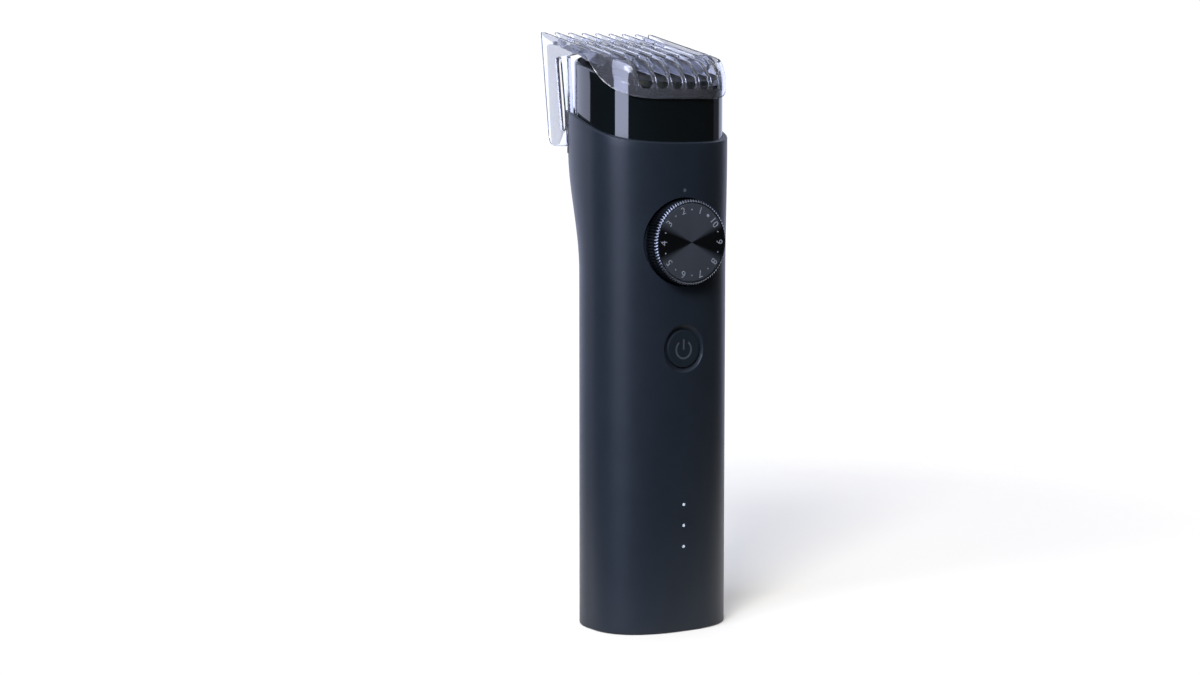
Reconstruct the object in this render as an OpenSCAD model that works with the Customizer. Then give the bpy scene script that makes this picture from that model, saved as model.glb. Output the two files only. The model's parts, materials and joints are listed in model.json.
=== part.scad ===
// Cordless beard trimmer with a dial-adjusted, lift-off guide comb.
// X runs across the front, -Y is the front face, +Z is up, and the
// origin is on the base plane, on the axis of the handle.

/* [Handle] */
// Width of the handle
body_w = 39.6; // [39:0.1:40.4]
// Depth of the handle at the grip
body_d = 31.26; // [30.8:0.02:31.8]
// How far the back swells out under the head
swell = 8.2; // [7.8:0.1:8.6]
// Thickness of the handle wall
wall = 1.8; // [1.6:0.1:1.9]
// Height of the rim at the front
rim_front = 130.4; // [130:0.1:130.8]
// Rise of the rim from front to back
rim_rise = 9.6; // [9:0.1:10]
// Roundness of the plan outline, 2 is an ellipse
fullness = 2.5; // [2.4:0.05:2.6]

/* [Controls] */
// Height of the dial axis
dial_z = 104.3; // [104:0.1:104.6]
// Radius of the dial over its knurl
dial_r = 11.35; // [11.2:0.05:11.4]
// How far the dial face stands in front of the handle
dial_proud = 3.4; // [3:0.1:3.6]
// Comb lift for one turn of the dial
lift_per_turn = 10; // [10]
// Height of the power button axis
button_z = 76.05; // [75:0.05:77]
// Radius of the power button
button_r = 5; // [4.8:0.05:5.05]
// Heights of the battery lights
light_zs = [23.1, 28.75, 34.4];

/* [Head] */
// Half width of the head collar
collar_a = 18.85; // [18.7:0.05:18.9]
// Slope of the cutting head
head_tilt = 12.5; // [12:0.1:13]
// Height of the collar's top plane on the handle axis
head_z = 149.3; // [149:0.1:149.5]
// Number of cutter teeth
teeth = 29; // [21:2:31]

/* [Comb] */
// Distance between the comb fins
fin_pitch = 4.35; // [4.2:0.05:4.4]
// Thickness of a comb fin
fin_t = 1.2; // [1:0.1:1.3]
// Height of the comb's top surface on the handle axis
comb_z = 154.1; // [154:0.05:154.3]
// Reach of the comb fins behind the handle axis
comb_back = 28.8; // [28:0.1:29]

/* [Hidden] */
$fn = 48;
body_a = body_w / 2;
body_b = body_d / 2;
slope = tan(head_tilt);

// inside of the grip
in_a = body_a - wall;
in_b = body_b - wall;
swell_z0 = 96;
swell_z1 = 128;
rim_wall = 1.3;
rim_relief = 0.45;
flare = 0.5;

// head collar
collar_front = 14.7;
collar_back = 22;
collar_wall = 1.2;
collar_z0 = 129;

// dial
dial_pocket_y = -13.5;
dial_face_y = -body_b - dial_proud;
dial_back_y = dial_pocket_y - 0.25;
shaft_r = 2.4;
bush_r = 3.6;
cam_y0 = -9.2;
cam_y1 = -7;
cam_r = 14.3;
detents = 20;
rest_turn = 36;
full_turn = 306;
groove_rest = 4.3;
pin_r = 0.9;
groove_gap = 0.14;

// circuit board
board_y = -11.2;
board_t = 1;

// battery
cell_r = 7.05;
cell_y = 3.5;
cell_z0 = 14;
cell_z1 = 62;

// motor and eccentric
motor_y = 5.2;
motor_w = 20.4;
motor_d = 15.4;
motor_z0 = 98;
motor_z1 = 123;
rotor_r = 6.3;
throw = 0.8;
crank_r = 1;
slot_gap = 0.1;

// blade posts and screws
blade_x = 11;
blade_u = 6.5;

// comb carriage
rod_x = 13;
rod_y = -5.6;
rod_r = 1;
ear_z = 129.3;
slit_x = 17.4;
slit_w = 1.6;
slit_z = 126.3;

// comb
comb_a = 19.7;
comb_b = 15.6;
band_t = 0.55;
band_z = 141.8;
fins_each_side = 3;

// ---------- shared shapes ----------

// Rounded plan outline, with separate depths in front and behind
function outline(a, front, back, n = 72) = [
    for (i = [0:n - 1])
        let (c = cos(360 * i / n), s = sin(360 * i / n), b = s < 0 ? front : back)
            [sign(c) * a * pow(abs(c), 2 / fullness), sign(s) * b * pow(abs(s), 2 / fullness)]
];

function at_height(points, z) = [for (p = points) [p[0], p[1], z]];

// Depth of such an outline in front of the X axis at a given x
function front_at(a, front, x) = -front * pow(1 - pow(abs(x) / a, fullness), 1 / fullness);

function ease(t) = let (u = min(max(t, 0), 1)) u * u * (3 - 2 * u);
function swell_at(z) = ease((z - swell_z0) / (swell_z1 - swell_z0));
function wall_at(z) = wall - (wall - rim_wall) * swell_at(z);
function base_inset(z) = z < 0.6 ? 0.5 * pow(1 - z / 0.6, 2) : 0;

// Height of the handle's rim, a soft S from front to back
function rim_at(y) =
    let (t = min(max((y + body_b) / 40, 0), 1))
        rim_front + rim_rise * (ease(t) + sin(90 * t)) / 2;

// Solid through a stack of rings that all have the same number of points
module loft(rings) {
    n = len(rings[0]);
    m = len(rings);
    sides = [
        for (j = [0:m - 2], i = [0:n - 1])
            [j * n + i, (j + 1) * n + i, (j + 1) * n + (i + 1) % n, j * n + (i + 1) % n]
    ];
    bottom = [for (i = [0:n - 1]) i];
    top = [for (i = [n - 1:-1:0]) (m - 1) * n + i];
    polyhedron([for (r = rings) each r], concat([bottom], sides, [top]));
}

// Cylinder along Y from y0 to y1
module rod_y(r, y0, y1, x = 0, z = 0) {
    translate([x, y0, z])
        rotate([-90, 0, 0])
            cylinder(r = r, h = y1 - y0);
}

// Box between two corners
module block(lo, hi) {
    translate(lo)
        cube(hi - lo);
}

// Profile drawn in the YZ plane, extruded across X
module across(x0, x1) {
    translate([x0, 0, 0])
        rotate([90, 0, 90])
            linear_extrude(x1 - x0)
                children();
}

// Flat ring or plate with the handle's kind of outline
module plan_plate(a, front, back, z0, z1) {
    translate([0, 0, z0])
        linear_extrude(z1 - z0)
            polygon(outline(a, front, back));
}

// Frame of the sloping head: origin on its top plane
module on_head() {
    translate([0, 0, head_z])
        rotate([head_tilt, 0, 0])
            children();
}

module mirrored() {
    children();
    mirror([1, 0, 0])
        children();
}

// ---------- handle ----------

module shell_solid(inset, z_start) {
    low = z_start < 0 ? [z_start, swell_z0] : [0, 0.2, 0.6, swell_z0];
    steps = [for (z = [swell_z0 + 4:4:swell_z1]) z];
    loft([
        for (z = concat(low, steps, [146]))
            let (
                off = inset ? wall_at(z) : base_inset(z),
                a = body_a + flare * swell_at(z) - off,
                back = body_b + swell * swell_at(z) - off
            )
                at_height(outline(a, body_b - off + (inset ? rim_relief * swell_at(z) : 0), back), z)
    ]);
}

// Everything above the rim line
module above_rim() {
    ys = [for (y = [-18:3:27]) y];
    across(-30, 30)
        polygon(concat([[27, 160], [-18, 160]], [for (y = ys) [y, rim_at(y)]]));
}

module body_shell() {
    color("#2f3540")
        difference() {
            shell_solid(false, 0);
            difference() {
                shell_solid(true, -1);
                rod_y(13, -20, -11.9, 0, dial_z);
                rod_y(5, -20, -9.6, 0, dial_z);
            }
            above_rim();
            rod_y(dial_r + 0.4, -20, dial_pocket_y, 0, dial_z);
            rod_y(bush_r, -20, -9, 0, dial_z);
            rod_y(button_r + 0.13, -20, -12, 0, button_z);
            translate([0, -14.6, button_z])
                rotate([90, 0, 0])
                    cylinder(r1 = button_r + 0.13, r2 = button_r + 1.9, h = 1.7);
            for (z = light_zs)
                rod_y(0.45, -20, -12, 0, z);
            rod_y(0.5, -20, -body_b + 0.3, 0, dial_z + 13.6);
            mirrored()
                block([slit_x - slit_w / 2, 10, slit_z], [slit_x + slit_w / 2, 26, 150]);
        }
}

module base_cap() {
    color("#262b34")
        difference() {
            plan_plate(in_a - 0.1, in_b - 0.1, in_b - 0.1, 0, 2.6);
            translate([-3.1, 5, -1])
                cylinder(r = 1.9, h = 5);
            translate([3.1, 5, -1])
                cylinder(r = 1.9, h = 5);
            block([-3.1, 3.1, -1], [3.1, 6.9, 4]);
        }
}

module base_seal() {
    color("#1a1a1a")
        difference() {
            plan_plate(in_a - 0.1, in_b - 0.1, in_b - 0.1, 2.7, 3.5);
            plan_plate(in_a - 1.3, in_b - 1.3, in_b - 1.3, 2, 4);
        }
}

// Oval metal shell of the inlet, with the tongue inside it
module charging_socket() {
    color("silver") {
        difference() {
            oval_bar(1.6, 0.5, 7.7);
            oval_bar(1.3, -1, 6.9);
        }
        block([-2.6, 4.65, 1.4], [2.6, 5.35, 7.3]);
    }
}

module oval_bar(r, z0, z1) {
    for (x = [-2.9, 2.9])
        translate([x, 5, z0])
            cylinder(r = r, h = z1 - z0);
    block([-2.9, 5 - r, z0], [2.9, 5 + r, z1]);
}

module charge_board() {
    color("#1f5a38")
        block([-11, -3, 7.8], [11, 10.5, 8.8]);
}

// ---------- power ----------

module battery_cell() {
    color("#3f7fb5")
        translate([0, cell_y, cell_z0]) {
            cylinder(r = cell_r, h = cell_z1 - cell_z0 - 0.8);
            cylinder(r = 2.6, h = cell_z1 - cell_z0);
        }
}

module battery_contacts() {
    color("#c9c9c0") {
        block([-3, -4.6, 13.3], [3, 7, 13.9]);
        block([-3, -4.6, 62.1], [3, 7, 62.7]);
    }
}

module chassis() {
    color("#3a3d42") {
        difference() {
            union() {
                // lower spine between circuit board and battery
                block([-13, -6.4, 9], [13, -4.8, 94]);
                block([-10.5, -4.8, 9], [10.5, 9, 13.2]);
                block([-10.5, -4.8, 62.8], [10.5, 9, 65.4]);
                for (z = [24, 50])
                    block([-9.4, -4.8, z], [9.4, 4, z + 4]);
                // shelf and upper spine in front of the motor
                intersection() {
                    plan_plate(in_a - 0.2, in_b - 0.2, in_b - 0.2, 92.4, 95);
                    block([-13, -6.4, 92], [13, 20, 96]);
                }
                block([-12.2, -4.4, 92.4], [12.2, -2.8, 113]);
                block([-10.4, -4.4, 112], [10.4, -2.8, 127]);
                // lugs for the guide rods
                mirrored()
                    block([rod_x - 2, -6.7, 109.5], [rod_x + 2, -2.8, 113]);
                for (z = [20, 60], x = [-7, 7])
                    rod_y(1.9, board_y + board_t, -6.3, x, z);
            }
            translate([0, cell_y, 0])
                cylinder(r = cell_r + 0.1, h = 62, $fn = 64);
            block([-20, -4.4, 13.2], [20, 3.9, 13.95]);
            mirrored()
                translate([rod_x, rod_y, 100])
                    cylinder(r = rod_r, h = 20);
            for (z = [20, 60], x = [-7, 7])
                rod_y(0.75, -20, -5.5, x, z);
        }
    }
}

// Four identical screws that hold the circuit board on the chassis
module chassis_screws() {
    color("#8a8f96")
        for (z = [20, 60], x = [-7, 7]) {
            rod_y(1.4, board_y - 0.9, board_y, x, z);
            rod_y(0.75, board_y, -6.6, x, z);
        }
}

module circuit_board() {
    color("#1f5a38")
        difference() {
            block([-9.5, board_y, 17], [9.5, board_y + board_t, 86]);
            for (z = [20, 60], x = [-7, 7])
                rod_y(0.85, -15, -5, x, z);
        }
}

module control_chips() {
    color("#16181b") {
        block([-3.5, board_y + board_t, 40], [3.5, board_y + board_t + 1, 47]);
        block([-6.5, board_y + board_t, 68], [-1.5, board_y + board_t + 1.2, 73]);
        block([2, board_y + board_t, 66], [5.5, board_y + board_t + 1.6, 71]);
        block([-5, board_y + board_t, 29], [-1, board_y + board_t + 0.8, 33]);
        block([1.5, board_y + board_t, 30], [6, board_y + board_t + 1.4, 34]);
    }
}

module status_lights() {
    color("white")
        for (z = light_zs)
            block([-0.8, board_y - 0.6, z - 0.8], [0.8, board_y, z + 0.8]);
}

module light_pipes() {
    color("#dfe6ee") {
        block([-1.6, -13.2, light_zs[0] - 2], [1.6, board_y - 0.8, light_zs[2] + 2]);
        for (z = light_zs)
            rod_y(0.4, -body_b, -13.1, 0, z);
    }
}

// ---------- power button ----------

module tact_switch() {
    color("#23262b")
        difference() {
            block([-1.75, board_y - 1.25, button_z - 1.75], [1.75, board_y, button_z + 1.75]);
            rod_y(1.05, -13, board_y - 0.2, 0, button_z);
        }
}

module switch_plunger() {
    color("#c8b07a")
        rod_y(0.9, -13, -12.1, 0, button_z);
}

module power_button() {
    color("#262b33")
        difference() {
            union() {
                rod_y(button_r, -15.35, -13, 0, button_z);
                rod_y(button_r + 1.3, -13.1, -12.5, 0, button_z);
            }
            rod_y(2.7, -13, -12, 0, button_z);
        }
}

// ---------- dial ----------

module dial_knob() {
    notches = 60;
    color("#1d2026")
        difference() {
            translate([0, dial_back_y, dial_z])
                rotate([90, 0, 0])
                    linear_extrude(dial_back_y - dial_face_y - 0.35)
                        polygon([
                            for (i = [0:2 * notches - 1])
                                let (r = dial_r - (i % 2) * 0.35, t = 180 * i / notches)
                                    [r * cos(t), r * sin(t)]
                        ]);
            rod_y(10.3, -25, dial_face_y + 0.75, 0, dial_z);
            rod_y(shaft_r + 0.02, -25, -13, 0, dial_z);
        }
}

module dial_face() {
    color("#2b3038")
        rod_y(10.25, dial_face_y, dial_face_y + 0.72, 0, dial_z);
}

module dial_screw() {
    color("#8a8f96") {
        rod_y(2, dial_face_y + 0.8, dial_face_y + 1.6, 0, dial_z);
        rod_y(0.8, dial_face_y + 1.5, -13, 0, dial_z);
    }
}

module dial_shaft() {
    color("#9aa0a8")
        difference() {
            rod_y(shaft_r, dial_face_y + 1.6, cam_y0, 0, dial_z);
            rod_y(0.8, -25, -12.9, 0, dial_z);
        }
}

module dial_bush() {
    color("#c7a552")
        difference() {
            rod_y(bush_r, dial_pocket_y, -9.7, 0, dial_z);
            rod_y(shaft_r + 0.05, -20, -5, 0, dial_z);
        }
}

// Radius of the groove's centreline at an angle clockwise from the top
function groove_at(turn) = groove_rest - lift_per_turn * turn / 360;

// Point of the face at a radius and an angle clockwise from the top
function clock(r, turn) = [r * sin(turn), r * cos(turn)];

module cam_disc() {
    edge = pin_r + groove_gap;
    turns = [for (t = [-full_turn - 6:6:rest_turn + 24]) t];
    color("#d8d8d2")
        difference() {
            rod_y(cam_r, cam_y0, cam_y1, 0, dial_z);
            // spiral groove, open to the rear
            translate([0, cam_y1 + 1, dial_z])
                rotate([90, 0, 0])
                    linear_extrude(2.6)
                        polygon(concat(
                            [for (t = turns) clock(groove_at(t) + edge, t)],
                            [for (i = [len(turns) - 1:-1:0])
                                clock(groove_at(turns[i]) - edge, turns[i])]
                        ));
            for (i = [0:detents - 1])
                rod_y(0.5, -10, -6, cam_r * sin(i * 18), dial_z + cam_r * cos(i * 18));
        }
}

module detent_leaf() {
    color("#b9bec4") {
        block([-5, -8.9, dial_z - cam_r - 1.15], [5, -7.3, dial_z - cam_r - 0.9]);
        rod_y(0.4, -8.9, -7.3, 0, dial_z - cam_r - 0.5);
        block([-0.3, -8.9, dial_z - cam_r - 1], [0.3, -7.3, dial_z - cam_r - 0.5]);
        block([-5, -8.9, dial_z - cam_r - 1.15], [-4.4, -6.4, dial_z - cam_r - 0.9]);
        block([4.4, -8.9, dial_z - cam_r - 1.15], [5, -6.4, dial_z - cam_r - 0.9]);
    }
}

module index_mark() {
    color("#8d949e")
        rod_y(0.48, -body_b + 0.02, -body_b + 0.3, 0, dial_z + 13.6);
}

// ---------- comb carriage ----------

module comb_carriage() {
    arm_x0 = 13.3;
    arm_x1 = 15.1;
    color("#4a4e55")
        difference() {
            union() {
                block([-4, -6.6, 106], [4, -4.8, 120]);
                block([-arm_x1, -6.6, 118], [arm_x1, -4.8, 125]);
                mirrored() {
                    translate([rod_x, rod_y, 118])
                        cylinder(r = 2.1, h = 7);
                    block([arm_x0, -6.6, 119], [arm_x1, 13.2, 125]);
                    block([arm_x0, 11.4, 122.6], [arm_x1, 13.2, ear_z]);
                    block([arm_x0, 11.4, slit_z + 1.2], [slit_x + 0.6, 13.2, ear_z]);
                    block([slit_x - 0.6, 11.4, slit_z + 1.2], [slit_x + 0.6, 14.6, ear_z]);
                }
            }
            mirrored()
                translate([rod_x, rod_y, 110])
                    cylinder(r = rod_r + 0.06, h = 30);
            rod_y(pin_r, -10, -5.5, 0, dial_z + groove_rest);
        }
}

module follower_pin() {
    color("#b9bec4")
        rod_y(pin_r, cam_y1 - 1.4, -5.5, 0, dial_z + groove_rest);
}

module guide_rods() {
    color("#b9bec4")
        for (x = [-rod_x, rod_x])
            translate([x, rod_y, 109.5])
                cylinder(r = rod_r, h = 27.5);
}

// ---------- motor ----------

module flat_can(inset, z0, z1) {
    translate([0, motor_y, z0])
        intersection() {
            cylinder(r = motor_w / 2 - inset, h = z1 - z0);
            translate([-motor_w, -motor_d / 2 + inset, 0])
                cube([2 * motor_w, motor_d - 2 * inset, z1 - z0]);
        }
}

module motor_can() {
    color("#a9adb3")
        difference() {
            union() {
                flat_can(0, motor_z0, motor_z1);
                translate([0, motor_y, motor_z1 - 0.5])
                    cylinder(r = 3, h = 1.7);
            }
            flat_can(1, motor_z0 - 1, motor_z1 - 1.2);
            translate([0, motor_y, motor_z0])
                cylinder(r = 1.05, h = 40);
            for (x = [-6, 6])
                translate([x, motor_y, motor_z0])
                    cylinder(r = 0.8, h = 40);
        }
}

module motor_end_cap() {
    color("#e3e0d6")
        difference() {
            flat_can(1.05, motor_z0 - 2.2, motor_z0 + 2);
            translate([0, motor_y, motor_z0 - 5])
                cylinder(r = 1.05, h = 20);
        }
}

module motor_terminals() {
    color("#c9a24a")
        for (x = [-5, 5])
            block([x - 1, motor_y + 3, motor_z0 - 2.9], [x + 1, motor_y + 3.4, motor_z0 - 2.2]);
}

module motor_clip() {
    color("#3a3d42")
        difference() {
            block([-12.2, -2.75, motor_z1 + 0.05], [12.2, 12.6, motor_z1 + 1.6]);
            translate([0, motor_y, 110])
                cylinder(r = 3.1, h = 30);
            for (x = [-6, 6])
                translate([x, motor_y, 110])
                    cylinder(r = 0.9, h = 30);
        }
}

module motor_screws() {
    color("#8a8f96")
        for (x = [-6, 6])
            translate([x, motor_y, motor_z1 - 1.2]) {
                cylinder(r = 0.8, h = 3);
                translate([0, 0, 2.8])
                    cylinder(r = 1.6, h = 0.9);
            }
}

module motor_shaft() {
    color("#d0d4d9")
        translate([0, motor_y, motor_z0 + 3]) {
            cylinder(r = 1, h = 28);
            cylinder(r = rotor_r, h = 18);
        }
}

module eccentric_cam() {
    color("#efeadb")
        difference() {
            union() {
                translate([0, motor_y, 126])
                    cylinder(r = 3, h = 4);
                translate([throw, motor_y, 129.5])
                    cylinder(r = crank_r, h = 6.5);
            }
            translate([0, motor_y, 120])
                cylinder(r = 1, h = 9);
        }
}

// ---------- head ----------

// Everything above the sloping plane, shifted along its normal
module above_head(offset_w = 0) {
    on_head()
        translate([-30, -40, offset_w])
            cube([60, 90, 40]);
}

module head_collar() {
    color("#0d1013")
        difference() {
            plan_plate(collar_a, collar_front, collar_back, collar_z0, 160);
            plan_plate(collar_a - collar_wall, collar_front - collar_wall,
                collar_back - collar_wall, collar_z0 - 1, 161);
            above_head();
            edge_bevel(0, collar_front, head_z - (collar_front - 2) * slope);
            edge_bevel(-30, 16.9, 147.3);
            edge_bevel(30, 16.9, 147.3);
            // reliefs for the comb carriage, hidden below the handle's rim
            mirrored()
                block([12.5, 10.3, collar_z0 - 1], [20, 18.5, 138.1]);
        }
}

// Cuts the collar's top edge back where it passes under the comb, square to one direction
module edge_bevel(turn, reach, top) {
    rotate([0, 0, turn])
        across(-30, 30)
            polygon([[-reach - 0.3, 143], [-reach + 2, top], [-reach + 2, 160], [-reach - 0.3, 160]]);
}

module collar_seal() {
    color("#1a1a1a")
        difference() {
            plan_plate(collar_a - 1.3, collar_front - 1.3, collar_back - 1.3, 138.6, 139.6);
            plan_plate(collar_a - 2.3, collar_front - 2.3, collar_back - 2.3, 138, 141);
        }
}

module head_plate() {
    gap = collar_wall + 0.1;
    color("#14171b")
        difference() {
            union() {
                difference() {
                    plan_plate(collar_a - gap, collar_front - gap, collar_back - gap, 139.7, 160);
                    above_head(-0.02);
                    difference() {
                        translate([-30, -30, 130])
                            cube([60, 60, 40]);
                        above_head(-2);
                        plate_ring();
                    }
                }
                mirrored()
                    block([rod_x - 2.2, rod_y - 1.5, 136], [rod_x + 1.4, rod_y + 2.2, 147]);
            }
            block([-4, 1.4, 130], [4, 9, 160]);
            mirrored()
                translate([rod_x, rod_y, 120])
                    cylinder(r = rod_r, h = 17);
            on_head()
                for (x = [-blade_x, blade_x])
                    translate([x, blade_u, -4])
                        cylinder(r = 0.75, h = 5);
        }
}

// Skirt under the head plate, inside the collar
module plate_ring() {
    gap = collar_wall + 1.4;
    difference() {
        translate([-29, -29, 139])
            cube([58, 58, 30]);
        plan_plate(collar_a - gap, collar_front - gap, collar_back - gap, 130, 170);
    }
}

module blade_posts() {
    color("#14171b")
        on_head() {
            difference() {
                union() {
                    block([-15.6, 1.6, 0], [15.6, 3.2, 2.25]);
                    for (x = [-blade_x, blade_x])
                        translate([x, blade_u, 0])
                            cylinder(r = 1.5, h = 2.25);
                }
                for (x = [-blade_x, blade_x])
                    translate([x, blade_u, -1])
                        cylinder(r = 0.7, h = 5);
            }
        }
}

// Blade plate with a row of teeth along its rear edge
module toothed_plate(half_w, u0, u_root, u_tip, tooth_w, w0, w1) {
    block([-half_w, u0, w0], [half_w, u_root, w1]);
    pitch = 2 * (half_w - tooth_w / 2) / (teeth - 1);
    for (i = [0:teeth - 1])
        translate([-half_w + tooth_w / 2 + i * pitch, u_root - 0.1, w0])
            linear_extrude(w1 - w0)
                polygon([
                    [-tooth_w / 2, 0], [tooth_w / 2, 0],
                    [tooth_w / 4, u_tip - u_root + 0.1], [-tooth_w / 4, u_tip - u_root + 0.1]
                ]);
}

module fixed_blade() {
    color("#cfd3d8")
        on_head()
            difference() {
                toothed_plate(15.8, 1.6, 14.9, 18.2, 0.62, 2.3, 3.2);
                for (x = [-blade_x, blade_x]) {
                    translate([x, blade_u, 0])
                        cylinder(r = 0.75, h = 5);
                    translate([x, blade_u, 2.7])
                        cylinder(r = 1.5, h = 5);
                }
            }
}

module blade_screws() {
    color("#8a8f96")
        on_head()
            for (x = [-blade_x, blade_x])
                translate([x, blade_u, -0.6]) {
                    cylinder(r = 0.7, h = 3.6);
                    translate([0, 0, 3.3])
                        cylinder(r = 1.4, h = 0.4);
                }
}

module moving_blade() {
    color("#b7bcc3")
        on_head()
            difference() {
                toothed_plate(14.6, 4.2, 14.4, 17.4, 0.7, 1.3, 2.24);
                for (x = [-blade_x, blade_x])
                    block([x - 2.6, blade_u - 1.8, 0], [x + 2.6, blade_u + 1.8, 4]);
            }
}

// Sprung wire bars that press the moving blade up against the fixed one
module blade_spring() {
    color("#c9ced4")
        on_head()
            for (u = [11.4, 13.2])
                block([-13, u, 0.02], [13, u + 0.6, 1.1]);
}

module drive_yoke() {
    fork_gap = throw + throw + crank_r + slot_gap;
    color("#efeadb") {
        difference() {
            block([-4.2, motor_y - 4.6, 131.4], [4.2, motor_y + 4.6, 137.6]);
            block([-fork_gap, motor_y - 3.4, 130], [fork_gap, motor_y + 3.4, 136.4]);
        }
        difference() {
            block([-2.6, motor_y - 1.8, 137.5], [2.6, motor_y + 2.2, 155]);
            above_head(1.25);
        }
    }
}

// ---------- comb ----------

function comb_top(y) = comb_z + slope * y;

// Quadratic curve through a corner point
function curve(a, b, c, n = 6) = [
    for (i = [0:n]) let (t = i / n) a * pow(1 - t, 2) + b * 2 * t * (1 - t) + c * t * t
];

// Lowest the comb may reach over the head, clear of it at the shortest setting
function comb_floor(y) = head_z + 1.45 + slope * y;

// Front and top edge of a fin whose foot is at y = front
function fin_brow(front) =
    curve([front, 144.6], [front + 0.3, comb_top(front) - 1.6], [front + 5.2, comb_top(front + 5.2)]);

// Inner fin: deep in front of the blade, thin over it, deep again behind it
module fin(x) {
    front = front_at(comb_a, comb_b, x) + 0.1;
    leg = 0.4;
    across(x - fin_t / 2, x + fin_t / 2)
        polygon(concat(
            [[front, band_z + 0.8]],
            fin_brow(front),
            [
                [comb_back, comb_top(comb_back)],
                [comb_back, comb_top(comb_back) - 0.5],
                [22.5, comb_top(22.5) - 2.6],
                [20.2, comb_top(20.2) - 2.2],
                [19.2, comb_top(19.2) - 0.45],
                [0.2, comb_top(0.2) - 0.45],
                [-0.4, comb_floor(-0.4)],
                [front + 2, comb_floor(front + 2)],
                [front + leg, 145.5],
                [front + leg, band_z + 0.8]
            ]
        ));
}

// Side plate: outermost fin with the slotted arm below it
module side_plate(x) {
    front = front_at(comb_a, comb_b, x);
    across(x - fin_t / 2, x + fin_t / 2)
        difference() {
            polygon(concat(
                curve([front + 1, 149.3], [front + 1.7, comb_top(front) - 0.5],
                    [front + 5.2, comb_top(front + 5.2)]),
                [
                    [comb_back, comb_top(comb_back)],
                    [comb_back - 0.3, 158.2],
                    [24.75, 132.6],
                    [24.3, 130.8],
                    [23, 129.6],
                    [21.6, 129.35],
                    [13.1, 129.35],
                    [13.1, 139.2],
                    [14.7, 153.5],
                    [12.3, 153.7],
                    [9.6, 154],
                    [4.6, comb_floor(4.6) + 0.2],
                    [front + 2.5, comb_floor(front + 2.5) + 0.2]
                ]
            ));
            polygon([
                [15.7, 135], [16.1, 139.2], [18.3, 152.6], [18.9, 153.4], [20.6, 153.4],
                [21.1, 152.4], [20.5, 149], [18.5, 134.8], [17.7, 133.5], [16.5, 133.5]
            ]);
        }
}

// Clear skirt that wraps the front of the head, stepping in as it rises
module skirt() {
    half = fins_each_side * fin_pitch + fin_t / 2;
    difference() {
        union() {
            difference() {
                wrap(0, band_t);
                beyond_line(comb_floor(0) + 1.3, 200);
            }
            difference() {
                wrap(0.5, 1.35);
                beyond_line(comb_top(0) - 0.6, 200);
                beyond_line(comb_floor(0), 100);
            }
        }
        // open behind the rising lower edge
        across(-30, 30)
            polygon([
                [-30, 130], [-30, band_z - 1], [-14.5, band_z - 1], [-14.5, band_z + 0.2],
                [-10.5, band_z + 2.2], [-2.7, 148.6], [2.2, 151.6], [5.3, 154.2],
                [5.3, 170], [40, 170], [40, 130]
            ]);
        // open across the inner fins, whose outer sides the corners meet
        block([-half, -20, band_z + 2.4], [half, 10, 170]);
    }
}

// Space on the far side of a line with the head's slope through (0, z0)
module beyond_line(z0, far) {
    across(-30, 30)
        polygon([[-30, z0 - 30 * slope], [30, z0 + 30 * slope], [30, far], [-30, far]]);
}

// Ring that follows the comb's outline, set in from it
module wrap(inset, thick) {
    difference() {
        plan_plate(comb_a - inset, comb_b - inset, comb_b, band_z, 160);
        plan_plate(comb_a - inset - thick, comb_b - inset - thick, comb_b - thick,
            band_z - 1, 161);
    }
}

module comb_guard() {
    outer = (fins_each_side + 1) * fin_pitch;
    color([0.82, 0.86, 0.92, 0.5]) {
        for (i = [-fins_each_side:fins_each_side])
            fin(i * fin_pitch);
        for (side = [-1, 1])
            side_plate(side * outer);
        skirt();
        // bar that ties the fins together behind the blade
        across(-outer, outer)
            polygon([
                [20.4, comb_top(20.4) - 2], [22.3, comb_top(22.3) - 2.3],
                [22.3, comb_top(22.3) - 1.4], [20.4, comb_top(20.4) - 1.1]
            ]);
    }
}

body_shell();
base_cap();
base_seal();
charging_socket();
charge_board();
battery_cell();
battery_contacts();
chassis();
chassis_screws();
circuit_board();
control_chips();
status_lights();
light_pipes();
tact_switch();
switch_plunger();
power_button();
dial_knob();
dial_face();
dial_screw();
dial_shaft();
dial_bush();
cam_disc();
detent_leaf();
index_mark();
comb_carriage();
follower_pin();
guide_rods();
motor_can();
motor_end_cap();
motor_terminals();
motor_clip();
motor_screws();
motor_shaft();
eccentric_cam();
head_collar();
collar_seal();
head_plate();
blade_posts();
fixed_blade();
blade_screws();
moving_blade();
blade_spring();
drive_yoke();
comb_guard();
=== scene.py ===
"""Looks of the beard trimmer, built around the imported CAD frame.

Lengths are in millimetres until a mesh meets Blender. The front faces -Y and up is +Z.
"""
import json
import math

import bmesh
import bpy
from mathutils import Matrix, Vector


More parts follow.
